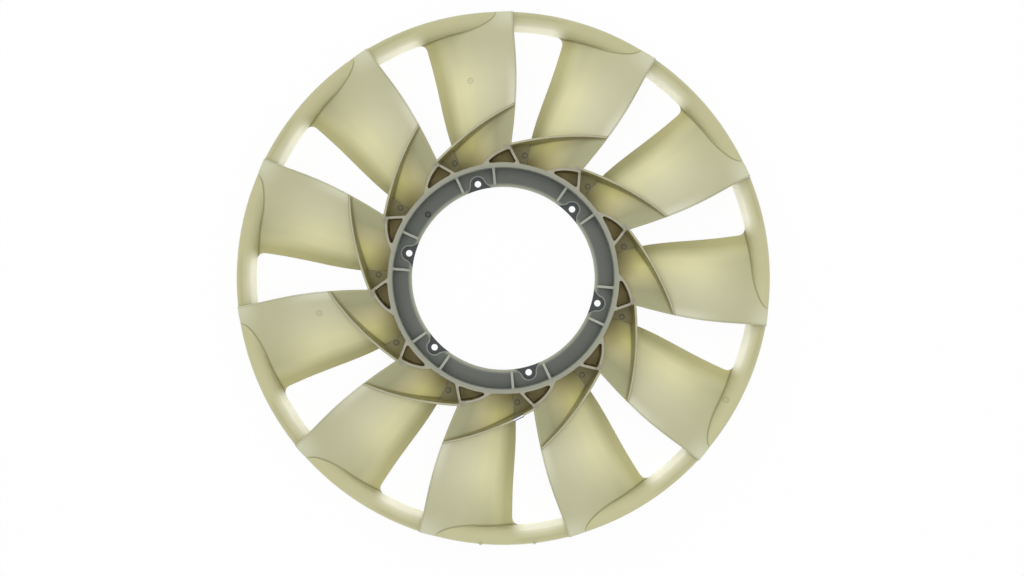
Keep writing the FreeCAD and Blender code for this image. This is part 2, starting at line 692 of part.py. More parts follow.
pips = []
for name in ("near", "far"):
    pip = doc.addObject("Part::Cylinder", f"pip_{name}")
    pip.setExpression("Radius", "dimensions.pip_radius")
    pip.setExpression("Height", "dimensions.pip_length")
    reach = f"({LIP_RADIUS} + dimensions.pip_proud - dimensions.pip_radius)"
    pip.setExpression(".Placement.Base.x", f"{reach} * sin(dimensions.pip_angle_{name})")
    pip.setExpression(".Placement.Base.y", f"{reach} * cos(dimensions.pip_angle_{name})")
    pip.setExpression(".Placement.Base.z", "dimensions.lip_height - dimensions.pip_length")
    pips.append(pip)

# The whole moulding, moulded round the steel ring

moulded = doc.addObject("Part::MultiFuse", "moulded_form")
moulded.Shapes = [wheel_form, flange] + pips
impeller = doc.addObject("Part::Cut", "impeller_moulding")
impeller.Label = "impeller_moulding"
impeller.Base = moulded
impeller.Tool = steel

# Balance clip, pushed over the top of a spiral wall

clip = new_body("balance_clip")
clip_sketch = new_sketch(clip, "XZ_Plane", "clip_section")
CLIP_INNER = "(dimensions.spiral_wall / 2 + dimensions.clip_clearance)"
CLIP_OUTER = f"({CLIP_INNER} + dimensions.clip_sheet)"
CLIP_FOOT = "(dimensions.clip_sheet - dimensions.clip_leg)"
outline(clip_sketch, [
    (f"-{CLIP_OUTER}", CLIP_FOOT),
    (f"-{CLIP_OUTER}", "axis", "dimensions.clip_sheet", 1),
    (f"-{CLIP_INNER}", "dimensions.clip_sheet"),
    (CLIP_INNER, "dimensions.clip_sheet", "dimensions.clip_sheet", 1),
    (CLIP_OUTER, "axis"),
    (CLIP_OUTER, CLIP_FOOT),
    (CLIP_INNER, CLIP_FOOT),
    (CLIP_INNER, "axis"),
    (f"-{CLIP_INNER}", "axis"),
    (f"-{CLIP_INNER}", CLIP_FOOT),
])
pad(clip, clip_sketch, "clip_folded", "dimensions.clip_length", midplane=True)


def clip_place():
    """The middle of the wall's top at the clip's plan angle, turned along the wall."""
    folded = size("clip_angle") % PITCH
    if folded < SPIRAL_START:
        folded += PITCH
    turns = round((size("clip_angle") - folded) / PITCH)
    half = size("spiral_wall") / 2
    before = plan_point(spiral_radius(folded - CLIP_STEP) - half, folded - CLIP_STEP)
    after = plan_point(spiral_radius(folded + CLIP_STEP) - half, folded + CLIP_STEP)
    along = after - before
    spot = plan_point(spiral_radius(folded) - half, folded, SPIRAL_TOP + size("clip_clearance") / 2)
    turn = math.degrees(math.atan2(along.y, along.x)) - 90
    place = FreeCAD.Placement(spot, FreeCAD.Rotation(AXIS, turn))
    return FreeCAD.Placement(ORIGIN, FreeCAD.Rotation(AXIS, -PITCH * turns)).multiply(place)


doc.recompute()
clip.Placement = clip_place()
doc.recompute()

# Every object has to be sound before anything is written

PIECES = (impeller, steel, clip)
for item in doc.Objects:
    if "Invalid" in item.State or "Error" in item.State:
        raise RuntimeError(f"{item.Name} failed: {item.State}")
for piece in PIECES:
    if piece.Shape.isNull() or not piece.Shape.isValid():
        raise RuntimeError(f"{piece.Label} has no sound shape")
    if len(piece.Shape.Solids) != 1:
        raise RuntimeError(f"{piece.Label} fell into {len(piece.Shape.Solids)} solids")

os.makedirs("parts", exist_ok=True)
for piece in PIECES:
    piece.Shape.exportStep(f"parts/{piece.Label}.step")
    print(piece.Label, round(piece.Shape.Volume), "mm3")
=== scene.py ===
"""Dresses a moulded ring fan: its nylon, its steel mounting ring and its balance clip, on a pale floor."""

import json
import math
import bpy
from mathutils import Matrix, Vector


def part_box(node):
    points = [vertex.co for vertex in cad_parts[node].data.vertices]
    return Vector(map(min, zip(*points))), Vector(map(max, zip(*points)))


bl_info = {
    "name": "Axial Fan Impeller",
    "version": (1, 0, 0),
    "blender": (4, 5, 0),
    "location": "3D View > Sidebar > Fan",
    "description": "Finishes of a moulded ring fan with a steel mounting ring and a balance clip",
    "category": "Object",
}

import bmesh
import bpy
from bpy.props import FloatProperty, FloatVectorProperty, IntProperty, PointerProperty
from mathutils import Vector

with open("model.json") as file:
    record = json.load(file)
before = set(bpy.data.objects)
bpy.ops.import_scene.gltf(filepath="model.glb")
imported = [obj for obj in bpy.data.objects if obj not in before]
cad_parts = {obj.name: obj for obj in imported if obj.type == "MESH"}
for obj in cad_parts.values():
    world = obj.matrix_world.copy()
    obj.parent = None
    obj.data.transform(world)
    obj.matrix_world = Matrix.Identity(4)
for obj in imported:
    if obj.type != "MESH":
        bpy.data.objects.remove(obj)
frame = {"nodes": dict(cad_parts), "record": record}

MOULDING = "impeller_moulding"
STEEL = "steel_mounting_ring"
CLIP = "balance_clip"
MM = 0.001

MOUNTS = {mount["name"]: mount for mount in frame["record"]["mounts"]}
BORE_RADIUS = MOUNTS["hub_bore"]["dims"]["r_mm"] * MM
BOLT_CIRCLE = MOUNTS["clutch_bolts"]["dims"]["pcd_mm"] / 2 * MM
LUG_COUNT = MOUNTS["clutch_bolts"]["dims"]["count"]
REAR_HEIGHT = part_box(MOULDING)[0].z
SPIRAL_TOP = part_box(MOULDING)[1].z
CLIP_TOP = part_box(CLIP)[1].z

# Faint round marks on two blades and on the ring: radius, and plan angle clockwise from +Y
FACE_MARKS = ((0.284, math.radians(-9.5)), (0.264, math.radians(-100.7)), (0.358, math.radians(118.6)))
# Heights over which these marks set in
FACE_MARKS_FROM = (22 * MM, 26 * MM)

# Light through the ring sets in past a leading edge and fades before the next trailing edge: plan angles
GAP_OPENS = (math.radians(34.2), math.radians(35.8))
GAP_CLOSES = (math.radians(48.0), math.radians(43.5))

# How far past a pocket's apex a blade's pitch starts, and how far before its foot the pocket's own does
PAST_APEX = math.radians(1.0)
BEFORE_FOOT = math.radians(2.7)

CAMERA_HEIGHT = 2.65
CAMERA_LENS = 65.0
IMAGE_WIDTH = 1024
FAN_LEFT_OF_CENTRE = 8.7
FAN_ABOVE_CENTRE = 9.7
FLOOR_SIZE = 12.0


def srgb(text):
    """A colour written as six hexadecimal digits, as linear red, green and blue."""
    parts = [int(text[k:k + 2], 16) / 255 for k in (0, 2, 4)]
    return tuple(p / 12.92 if p <= 0.04045 else ((p + 0.055) / 1.055) ** 2.4 for p in parts)


# Sizes and colours that a user may change

def length(name, default, description):
    return FloatProperty(name=name, description=description, default=default, unit="LENGTH", precision=4)


def turn(name, degrees, description):
    return FloatProperty(name=name, description=description, default=math.radians(degrees), unit="ROTATION")


def turns(name, degrees, description):
    return FloatVectorProperty(name=name, description=description, size=len(degrees), unit="ROTATION",
                               default=[math.radians(value) for value in degrees])


def tint(name, text, description):
    return FloatVectorProperty(name=name, description=description, size=3, subtype="COLOR",
                               min=0.0, max=1.0, default=srgb(text))


class FanForm(bpy.types.PropertyGroup):
    """Where the moulding's surfaces run, which its colours follow"""

    blade_count: IntProperty(name="Blades", description="Number of blades", default=11, min=3)
    hub_radius: length("Hub radius", 0.163, "Outside radius of the hub wall")
    rim_height: length("Rim height", 0.054, "Front rim of the hub wall")
    flange_height: length("Flange height", 0.007, "Front face of the inner flange")
    throat_radius: length("Throat radius", 0.3545, "Inside radius of the straight part of the ring")
    lip_overhang: length("Lip overhang", 0.0205, "How far the lip reaches out past the throat")
    lip_height: length("Lip height", 0.050, "Front edge of the lip")
    flare_radius: length("Flare radius", 0.024, "Inside radius of the bell mouth")
    blade_thickness: length("Blade thickness", 0.0036, "Thickness of a blade")
    blade_rise: length("Blade rise", 0.063, "Rise from trailing to leading edge")
    leading: turns("Leading edge", (35.3, 36.4, 36.57, 35.7, 34.8), "Leading edge from hub to lip")
    trailing: turns("Trailing edge", (12.0, 11.6, 13.0, 14.0, 14.4), "Trailing edge from hub to lip")
    spiral_reaches: FloatVectorProperty(name="Spiral reach", size=3, unit="LENGTH", precision=4,
                                        description="Hub wall to spiral wall at its start, middle and end",
                                        default=(0.027, 0.0495, 0.0845))
    spiral_wall: length("Spiral wall", 0.0034, "Thickness of the spiral wall")
    pocket_foot: turn("Pocket foot", 22.7, "Where the curved rib leaves the hub")
    pocket_apex: turn("Pocket apex", 35.6, "Plan angle of the pocket's apex")
    pocket_heel: turn("Pocket heel", 40.6, "Where the straight rib meets the hub")
    pocket_reach: length("Pocket reach", 0.0213, "Hub wall to the pocket's apex")
    pocket_bow: FloatProperty(name="Pocket bow", default=0.49,
                              description="How far the curved rib bows outwards")
    mark_reach: length("Mark reach", 0.016, "Hub wall to a round tool mark")
    mark_radius: length("Mark radius", 0.0044, "Radius of a round tool mark")
    flange_mark_inset: length("Flange mark", 0.0099, "Bore to the middle of the flange's tool mark")
    flange_mark_turn: turn("Flange mark turn", 34.6, "First lug to the flange's tool mark")
    first_lug: turn("First lug", 15.1, "Turn of the first lug, counter-clockwise from +Y")
    gusset_turn: turn("Gusset turn", 10.0, "Gussets on each side of a lug")
    gusset_wall: length("Gusset wall", 0.0036, "Thickness of a gusset")
    window_lip_proud: length("Window lip", 0.0008, "Height of the lip round a window over the flange")


class FanColours(bpy.types.PropertyGroup):
    """Colours of the natural nylon, the steel and the floor; many of the nylon's colours are painted light
    and shade
    """

    # Painted shade along the trailing edge
    trailing_strip_shade: tint("Trailing strip", "bdb98a", "Nylon along the trailing edge")
    # Painted light through the thin blade
    blade_backlit: tint("Blade, warm", "e0dcb1", "Nylon at the brightest part of a blade")
    blade_middle: tint("Blade, middle", "cdcba8", "Nylon behind the middle of a blade")
    blade_pale: tint("Blade, pale", "bab99b", "Nylon along the leading edge")
    blade_glow: tint("Blade, lit through", "eeedda", "Nylon along the inner half of the leading edge")
    # Painted shade on the leading edge
    blade_edge_shade: tint("Blade edge", "7c7c6c", "Nylon on the leading edge itself")
    tip_olive: tint("Tip, olive", "b6b491", "Nylon towards the ring")
    # Painted highlight at the leading tip corner
    tip_corner_highlight: tint("Tip corner", "cbccb2", "Nylon at the leading tip corner")
    root_foot: tint("Root, foot", "d6d0ac", "Nylon where a blade rises from the shelf")
    # Painted shade on the deep shelf beside the hub
    root_shelf_shade: tint("Root, brown", "8a8459", "Nylon at the blade root beside the hub")
    # Painted shade beside the hub wall
    root_hub_shade: tint("Root, hub", "b3ab82", "Nylon of a rising blade beside the hub")
    # Painted light through the thin blade root
    root_backlit: tint("Root, warm", "e6e2a2", "Nylon at the warm patch of the blade root")
    root_middle: tint("Root, middle", "cec79a", "Nylon behind the middle of the blade root")
    root_olive: tint("Root, olive", "a3a27f", "Nylon at the leading side of the blade root")
    # Painted highlight on the spiral wall's top and outer face
    wall_highlight: tint("Wall, light", "aba88b", "Rounded top of a spiral wall")
    # Painted shade at the foot and sides of the spiral wall
    wall_shade: tint("Wall, dark", "857b50", "Foot of a spiral wall")
    # Painted shade in a pocket next to its ribs
    pocket_corner_shade: tint("Pocket, dark", "a3955c", "Nylon down in a root pocket")
    pocket_middle: tint("Pocket, middle", "b2a368", "Middle of a root pocket's floor")
    # Painted shade round a tool mark
    mark_shade: tint("Mark", "2c2715", "Edge of a round tool mark")
    # Painted shade round the flange's tool mark
    flange_mark_shade: tint("Flange mark", "1c1f1c", "Round tool mark on the inner flange")
    rim_light: tint("Rim, light", "8e9080", "Inner half of the hub rim")
    rim_olive: tint("Rim, olive", "999684", "Outer half of the hub rim and the rib tops")
    hub_grey: tint("Hub, grey", "72766e", "Inside of the hub wall")
    flange_grey: tint("Flange, grey", "5f635c", "Inner flange over the steel")
    flange_edge: tint("Flange edge", "a3a592", "Nylon round the bore")
    gusset_light: tint("Gusset", "b0b3a6", "Gussets")
    lip_light: tint("Window lip", "8b948a", "Lips round the windows")
    # Painted light through the thin throat
    ring_backlit: tint("Ring, cream", "f8f7e6", "Thin throat of the ring between blades")
    ring_glow: tint("Ring, lit through", "8a8872", "Light that comes through the ring's thin throat")
    ring_middle: tint("Ring, middle", "d2d0ab", "Flare of the ring between blades")
    ring_inner: tint("Ring, inner", "cdcaa2", "Throat of the ring over the blades")
    ring_olive: tint("Ring, olive", "b7b48c", "Flare of the ring")
    ring_shade: tint("Ring, shade", "b4b189", "Foot of the flare between blades")
    # Painted highlight along the lip's outer edge
    ring_edge_highlight: tint("Ring edge", "bdbea6", "Outer edge of the lip")
    # Painted shade where a blade meets the ring
    seam_shade: tint("Seam", "8a855e", "Where a blade meets the ring")
    steel_dark: tint("Steel, dark", "2f3233", "Blackened steel")
    steel_worn: tint("Steel, worn", "4d5051", "Steel where it is rubbed")
    clip_dark: tint("Clip, dark", "4c474c", "Shaded side of the clip")
    clip_bright: tint("Clip", "d0d1d4", "Bright spring steel")
    floor_white: tint("Floor", "f2f2f2", "Plain floor")


# Shader expressions

class Wave:
    """A value that varies over a surface: sums of such values are written as plain arithmetic."""

    def __init__(self, board, socket):
        self.board = board
        self.socket = socket

    def joined(self, operation, first, second):
        return self.board.maths(operation, first, second)

    def __add__(self, other):
        return self.joined("ADD", self, other)

    def __radd__(self, other):
        return self.joined("ADD", other, self)

    def __sub__(self, other):
        return self.joined("SUBTRACT", self, other)

    def __rsub__(self, other):
        return self.joined("SUBTRACT", other, self)

    def __mul__(self, other):
        return self.joined("MULTIPLY", self, other)

    def __rmul__(self, other):
        return self.joined("MULTIPLY", other, self)

    def __truediv__(self, other):
        return self.joined("DIVIDE", self, other)

    def __rtruediv__(self, other):
        return self.joined("DIVIDE", other, self)

    def __mod__(self, other):
        return self.joined("FLOORED_MODULO", self, other)

    def __abs__(self):
        return self.board.maths("ABSOLUTE", self)


class Board:
    """One material's nodes."""

    def __init__(self, name):
        self.material = bpy.data.materials.new(name)
        self.material.use_nodes = True
        self.tree = self.material.node_tree
        self.shader = self.tree.nodes["Principled BSDF"]

    def node(self, kind, settings=None, sockets=None, output=0):
        """A node of any type: its settings first, then the values or links of its sockets."""
        made = self.tree.nodes.new(kind)
        for name, value in (settings or {}).items():
            if name == "stops":
                self.set_stops(made.color_ramp, value)
            else:
                setattr(made, name, value)
        for key, value in (sockets or {}).items():
            self.feed(made.inputs[key], value)
        return Wave(self, made.outputs[output])

    def maths(self, operation, *values):
        return self.node("ShaderNodeMath", {"operation": operation}, dict(enumerate(values)))

    @staticmethod
    def set_stops(ramp, stops):
        while len(ramp.elements) < len(stops):
            ramp.elements.new(1.0)
        for element, (place, colour) in zip(ramp.elements, stops):
            element.position = place
            element.color = (*tuple(colour), 1.0)

    def feed(self, socket, value):
        if isinstance(value, Wave):
            self.tree.links.new(value.socket, socket)
        elif socket.type == "RGBA" and len(value) == 3:
            socket.default_value = (*tuple(value), 1.0)
        else:
            socket.default_value = value

    def finish(self, **sockets):
        """Sets sockets of the surface shader; an underscore in a name stands for a space."""
        for name, value in sockets.items():
            self.feed(self.shader.inputs[name.replace("_", " ")], value)
        return self.material

    def place(self):
        """x, y and z on the object, and the point itself."""
        point = self.node("ShaderNodeTexCoord", output=3)
        x, y, z = (self.node("ShaderNodeSeparateXYZ", sockets={0: point}, output=k) for k in range(3))
        return point, x, y, z

    def ramp(self, value, stops):
        return self.node("ShaderNodeValToRGB", {"stops": stops}, {0: value})

    def mix(self, share, first, second):
        return self.node("ShaderNodeMix", {"data_type": "RGBA", "clamp_factor": True},
                         {0: share, 6: first, 7: second}, output=2)

    def rise(self, value, low, high):
        """Smooth step from 0 at low to 1 at high, or down if high is the smaller."""
        return self.node("ShaderNodeMapRange", {"interpolation_type": "SMOOTHSTEP"},
                         {"Value": value, "From Min": low, "From Max": high})

    def band(self, value, low, high, soft):
        """1 between low and high, with soft sides."""
        return self.rise(value, low - soft, low + soft) * self.rise(value, high + soft, high - soft)

    def noise(self, point, scale, detail=2.0, roughness=0.5):
        return self.node("ShaderNodeTexNoise", {"noise_dimensions": "3D"},
                         {"Vector": point, "Scale": scale, "Detail": detail, "Roughness": roughness})

    def grooves(self, place, scale, detail):
        """Noise that varies with one value alone, as turned and rolled lines do."""
        return self.node("ShaderNodeTexNoise", {"noise_dimensions": "1D"},
                         {"W": place, "Scale": scale, "Detail": detail})

    def bump(self, height, strength, distance, normal=None):
        sockets = {"Strength": strength, "Distance": distance, "Height": height}
        if normal is not None:
            sockets["Normal"] = normal
        return self.node("ShaderNodeBump", sockets=sockets)


class NylonPlan:
    """Plan coordinates of the moulding, folded onto one blade and onto one lug, and the masks they give."""

    def __init__(self, board, form):
        self.board = board
        self.form = form
        self.point, self.x, self.y, self.z = board.place()
        self.radius = board.maths("SQRT", self.x * self.x + self.y * self.y)
        self.angle = board.maths("ARCTAN2", self.x, self.y)
        self.pitch = math.tau / form.blade_count
        self.blade_turn = self.folded(form.pocket_apex + PAST_APEX - self.pitch, self.pitch)
        self.pocket_turn = self.folded(form.pocket_foot - BEFORE_FOOT, self.pitch)
        self.lug_turn = self.folded_about(-form.first_lug, math.tau / LUG_COUNT)
        self.lip_radius = form.throat_radius + form.lip_overhang
        self.chord = (self.z - REAR_HEIGHT - form.blade_thickness / 2) / form.blade_rise

    def folded(self, start, pitch):
        return (self.angle - start) % pitch + start

    def folded_about(self, middle, pitch):
        return (self.angle - (middle - pitch / 2)) % pitch - pitch / 2

    def edge_turn(self, turns_out, radius):
        """Plan angle of a blade edge: the smooth curve through its five evenly spaced stations."""
        last = len(turns_out) - 1
        hub = self.form.hub_radius
        place = (radius - hub) / (self.lip_radius - hub) * last
        total = 0.0
        for number, value in enumerate(turns_out):
            weights = [(place - other) / (number - other) for other in range(last + 1) if other != number]
            total += math.prod(weights) * value
        return total

    def spiral_gap(self):
        """How far a point lies outside the spiral wall's outer face."""
        form = self.form
        start, middle, finish = (form.hub_radius + reach for reach in form.spiral_reaches)
        first = form.pocket_apex - self.pitch
        last = self.edge_turn(form.leading, finish)
        share = (self.blade_turn - first) / (last - first)
        bend = 2 * (start + finish - 2 * middle)
        return self.radius - (share * (share * bend + (finish - start - bend)) + start)

    def pocket(self):
        """1 inside the ribs of a root pocket."""
        form = self.form
        foot, apex, heel = form.pocket_foot, form.pocket_apex, form.pocket_heel
        share = (self.pocket_turn - foot) / (apex - foot)
        curved = share * (1 + form.pocket_bow - share * form.pocket_bow) * form.pocket_reach
        straight = (heel - self.pocket_turn) / (heel - apex) * form.pocket_reach
        reach = self.board.maths("MINIMUM", curved, straight)
        inside = self.board.rise(self.radius - form.hub_radius - reach, 0.0, -0.8 * MM)
        return inside * self.board.rise(self.radius, form.hub_radius - 0.5 * MM, form.hub_radius)

    def ring_gap(self):
        """How far a point lies inside the ring's inner face, straight throat and flare alike."""
        form = self.form
        start = form.lip_height - math.sqrt(form.flare_radius**2 - (form.flare_radius - form.lip_overhang)**2)
        climb = self.board.maths("MAXIMUM", self.z - start, 0.0)
        bend = self.board.maths("SQRT", form.flare_radius**2 - climb * climb)
        return form.throat_radius + form.flare_radius - bend - self.radius

    def between_blades(self):
        """1 on the ring's inner face between two blades, fading before the trailing edge: where the painted
        light through the ring falls.
        """
        opened = self.board.rise(self.pocket_turn, *GAP_OPENS)
        closed = self.board.rise(self.pocket_turn, *GAP_CLOSES)
        inner_face = self.board.rise(self.ring_gap(), -2.4 * MM, -1.4 * MM)
        return opened * closed * inner_face

    def from_spot(self, turn_here, radius, middle):
        """How far a point lies in plan from the spot at a radius and a plan angle."""
        off = turn_here - middle
        along = self.radius * self.board.maths("SINE", off)
        out = self.radius * self.board.maths("COSINE", off) - radius
        return self.board.maths("SQRT", along * along + out * out)

    def marked(self, off_mark):
        """The painted shade of a round tool mark at a distance from its middle: a dark edge, as the shadow in
        a groove, round a less dark face.
        """
        rim = self.form.mark_radius
        edge = self.board.band(off_mark, rim - 1.4 * MM, rim + 0.2 * MM, 0.8 * MM)
        face = self.board.rise(off_mark, rim, rim - 1 * MM)
        return edge * 0.8 + face * 0.5

    def root_mark(self):
        form = self.form
        middle = (form.pocket_heel - self.pitch + form.trailing[0]) / 2
        low = self.board.rise(self.z, REAR_HEIGHT + 6 * MM, REAR_HEIGHT + 5 * MM)
        return self.marked(self.from_spot(self.blade_turn, form.hub_radius + form.mark_reach, middle)) * low

    def flange_mark(self):
        form = self.form
        middle = -form.first_lug - form.flange_mark_turn
        return self.marked(self.from_spot(self.angle, BORE_RADIUS + form.flange_mark_inset, middle))

    def face_marks(self):
        shades = [self.marked(self.from_spot(self.angle, radius, middle)) for radius, middle in FACE_MARKS]
        return sum(shades) * self.board.rise(self.z, *FACE_MARKS_FROM)


# Materials

def blade_colour(board, plan, colours, chord):
    """Painted light and shade on the blade: brightest a third of the way up as if lit through, painted shade
    along the trailing edge, paler to the leading edge, olive towards the ring, with a painted highlight at
    the tip corner and painted shade on the leading edge and along the seam with the ring.
    """
    form = plan.form
    # Painted shade along the trailing edge, painted light through the blade a third of the way up
    blade = board.ramp(chord, (
        (0.00, colours.trailing_strip_shade),
        (0.15, colours.trailing_strip_shade),
        (0.34, colours.blade_backlit),
        (0.50, colours.blade_backlit),
        (0.76, colours.blade_middle),
        (1.00, colours.blade_pale),
    ))
    outwards = board.rise(plan.radius, form.throat_radius - 90 * MM, form.throat_radius - 5 * MM)
    blade = board.mix(outwards * board.rise(chord, 0.1, 0.4) * 0.85, blade, colours.tip_olive)
    # Painted highlight at the leading tip corner, where it stands proud of the lip
    at_tip = board.rise(plan.radius, plan.lip_radius - 34 * MM, plan.lip_radius - 4 * MM)
    blade = board.mix(at_tip * board.rise(plan.chord, 0.78, 1.0) * 0.75, blade, colours.tip_corner_highlight)
    inwards = board.rise(plan.radius, form.throat_radius - 30 * MM, form.throat_radius - 95 * MM)
    blade = board.mix(inwards * board.rise(plan.chord, 0.93, 1.01) * 0.32, blade, colours.blade_glow)
    # Painted shade along the leading edge itself
    blade = board.mix(board.rise(plan.chord, 1.016, 1.026) * 0.85, blade, colours.blade_edge_shade)
    # Painted shade in the corner where the blade meets the ring
    gap = plan.ring_gap()
    seam = board.band(gap, 0.2 * MM, 2.6 * MM, 1.4 * MM) * board.rise(plan.chord, 1.0, 0.88)
    return board.mix(seam * 0.85, blade, colours.seam_shade)


def root_colour(board, plan, colours, chord):
    """Painted light and shade at the root: warm in the middle as if lit through, painted shade brown beside
    the hub and on the shelf, olive towards the leading edge.
    """
    form = plan.form
    # Painted light: the warm patch and the pale foot stand in for light through the thin root
    root = board.ramp(chord, (
        (0.02, colours.root_foot),
        (0.16, colours.root_backlit),
        (0.46, colours.root_backlit),
        (0.66, colours.root_middle),
        (0.86, colours.root_olive),
    ))
    # Painted shade on a rising blade beside the hub wall
    beside_hub = board.rise(plan.radius, form.hub_radius + 36 * MM, form.hub_radius + 6 * MM)
    root = board.mix(beside_hub * board.rise(chord, 1.1, 0.5) * 0.85, root, colours.root_hub_shade)
    # Painted shade on the shelf
    on_shelf = board.rise(plan.z, REAR_HEIGHT + 5.0 * MM, REAR_HEIGHT + 3.8 * MM)
    return board.mix(on_shelf, root, colours.root_shelf_shade)


def hub_colour(board, plan, colours):
    """Grey inside the hub wall, lighter round the bore, on the gussets and on the window lips."""
    form = plan.form
    hub = board.mix(board.rise(plan.z, form.flange_height + 4 * MM, form.rim_height - 8 * MM),
                    colours.flange_grey, colours.hub_grey)
    round_bore = board.rise(plan.radius, BORE_RADIUS + 6.5 * MM, BORE_RADIUS + 0.5 * MM)
    hub = board.mix(round_bore, hub, colours.flange_edge)
    off_gusset = abs(abs(plan.lug_turn) - form.gusset_turn) * plan.radius
    gusset = board.rise(off_gusset, form.gusset_wall / 2 + 0.8 * MM, form.gusset_wall / 2 + 0.1 * MM)
    gusset = gusset * board.rise(plan.z, form.flange_height + 1 * MM, form.flange_height + 4 * MM)
    hub = board.mix(gusset, hub, colours.gusset_light)
    lip_top = form.flange_height + form.window_lip_proud
    on_lip = board.band(plan.z, lip_top - 0.2 * MM, lip_top + 0.2 * MM, 0.1 * MM)
    on_lip = on_lip * board.rise(plan.radius, BOLT_CIRCLE + 14 * MM, BOLT_CIRCLE + 13 * MM)
    return board.mix(on_lip, hub, colours.lip_light)


def ring_colour(board, plan, colours):
    """Olive over the blades, cream in the thin throat between them: painted light through the throat, fading
    out to painted shade at the foot of the flare.
    """
    form = plan.form
    out = (plan.radius - form.throat_radius) / form.lip_overhang
    over_blade = board.ramp(out, (
        (0.00, colours.ring_inner),
        (1.00, colours.ring_olive),
    ))
    # Painted light through the throat, fading out to painted shade at the flare's foot
    open_ring = board.ramp(out, (
        (0.00, colours.ring_backlit),
        (0.08, colours.ring_backlit),
        (0.38, colours.ring_middle),
        (0.70, colours.ring_shade),
        (0.92, colours.ring_olive),
    ))
    ring = board.mix(plan.between_blades(), over_blade, open_ring)
    # Painted highlight along the lip's outer edge
    at_edge = board.rise(plan.radius, plan.lip_radius - 1.2 * MM, plan.lip_radius - 0.2 * MM)
    return board.mix(at_edge, ring, colours.ring_edge_highlight)


def nylon(form, colours):
    """Natural nylon with painted light and shade: warm where it is thin and lit through, painted shade brown
    at the thick roots, grey over the steel.
    """
    board = Board("natural_nylon_finish")
    plan = NylonPlan(board, form)
    mottle = board.noise(plan.point, 22.0, 3.0)
    flow = board.noise(plan.point, 7.0, 2.0)

    chord = plan.chord + (flow - 0.5) * 0.10
    gap = plan.spiral_gap()
    blade = blade_colour(board, plan, colours, chord)
    colour = board.mix(board.rise(gap, 0.4 * MM, -0.4 * MM), blade, root_colour(board, plan, colours, chord))
    # Painted shadow along the inner foot of the spiral wall
    foot_shadow = board.band(gap + form.spiral_wall, -3.6 * MM, 0.0, 1.6 * MM)
    colour = board.mix(foot_shadow * 0.7, colour, colours.wall_shade)
    # Painted highlight on the wall's top, painted shade below it
    on_wall = board.band(gap + form.spiral_wall / 2, -form.spiral_wall / 2, form.spiral_wall / 2, 0.25 * MM)
    wall = board.mix(board.rise(plan.z, SPIRAL_TOP - 1.6 * MM, SPIRAL_TOP - 0.5 * MM),
                     colours.wall_shade, colours.wall_highlight)
    # Painted highlight just outside the wall's outer face
    outer_face_highlight = board.band(gap, 0.0, 0.8 * MM, 0.4 * MM)
    colour = board.mix(outer_face_highlight * 0.6, colour, colours.wall_highlight)
    colour = board.mix(on_wall, colour, wall)

    # Painted shade: a pocket is darker next to the hub wall and towards its apex, lighter in the middle
    pocket = board.mix(board.band(plan.radius - form.hub_radius, 5 * MM, 12 * MM, 4 * MM),
                       colours.pocket_corner_shade, colours.pocket_middle)
    below_rim = board.rise(plan.z, form.rim_height - 0.6 * MM, form.rim_height - 3 * MM)
    colour = board.mix(plan.pocket() * below_rim, colour, pocket)

    at_rim = board.rise(plan.z, form.rim_height - 2 * MM, form.rim_height - 0.4 * MM)
    near_hub = board.rise(plan.radius, form.hub_radius + 26 * MM, form.hub_radius + 25 * MM)
    rim = board.mix(board.rise(plan.radius, form.hub_radius - 1.2 * MM, form.hub_radius - 3.2 * MM),
                    colours.rim_olive, colours.rim_light)
    inside = board.rise(plan.radius, form.hub_radius - 0.2 * MM, form.hub_radius - 0.6 * MM)
    colour = board.mix(inside, colour, hub_colour(board, plan, colours))
    colour = board.mix(at_rim * near_hub * (1 - on_wall), colour, rim)

    # Painted shade round the tool marks
    colour = board.mix(plan.root_mark() * 0.7, colour, colours.mark_shade)
    colour = board.mix(plan.flange_mark(), colour, colours.flange_mark_shade)

    on_ring = board.rise(plan.ring_gap(), 0.3 * MM, 0.1 * MM)
    proud = board.rise(plan.z, form.lip_height + 1.0 * MM, form.lip_height + 0.2 * MM)
    colour = board.mix(on_ring * proud, colour, ring_colour(board, plan, colours))
    # Painted shade of the faint round marks
    colour = board.mix(plan.face_marks() * 0.2, colour, colours.mark_shade)
    throat = board.rise(plan.radius, form.throat_radius + 5 * MM, form.throat_radius - 1 * MM)
    glow = board.mix(on_ring * throat * plan.between_blades(), (0, 0, 0), colours.ring_glow)

    colour = board.node("ShaderNodeHueSaturation", sockets={
        "Color": colour, "Value": 1.0 + (mottle - 0.5) * 0.08, "Saturation": 1.0 + (flow - 0.5) * 0.12})

    grain = board.noise(plan.point, 900.0, 2.0)
    ripple = board.noise(plan.point, 60.0, 2.0)
    fine = board.bump(grain, 0.10, 0.2 * MM)
    skin = board.bump(ripple, 0.08, 1.0 * MM, fine)
    return board.finish(Base_Color=colour, Roughness=0.46 + (mottle - 0.5) * 0.18, Normal=skin,
                        Emission_Color=glow, Emission_Strength=1.0, Specular_IOR_Level=0.28, IOR=1.5,
                        Subsurface_Weight=0.12, Subsurface_Scale=0.004, Subsurface_Radius=(1.0, 0.95, 0.7))


def blackened_steel(colours):
    """Dark steel with turned arcs and rubbed patches."""
    board = Board("dark_steel_finish")
    point, x, y, _ = board.place()
    radius = board.maths("SQRT", x * x + y * y)
    rings = board.grooves(radius, 2600.0, 3.0)
    patches = board.noise(point, 55.0, 4.0, 0.6)
    worn = board.rise(patches, 0.52, 0.75)
    colour = board.mix(worn * 0.55 + rings * 0.2, colours.steel_dark, colours.steel_worn)
    return board.finish(Base_Color=colour, Metallic=0.35, Roughness=0.42 + rings * 0.16 + worn * 0.1,
                        Normal=board.bump(rings, 0.15, 0.1 * MM))


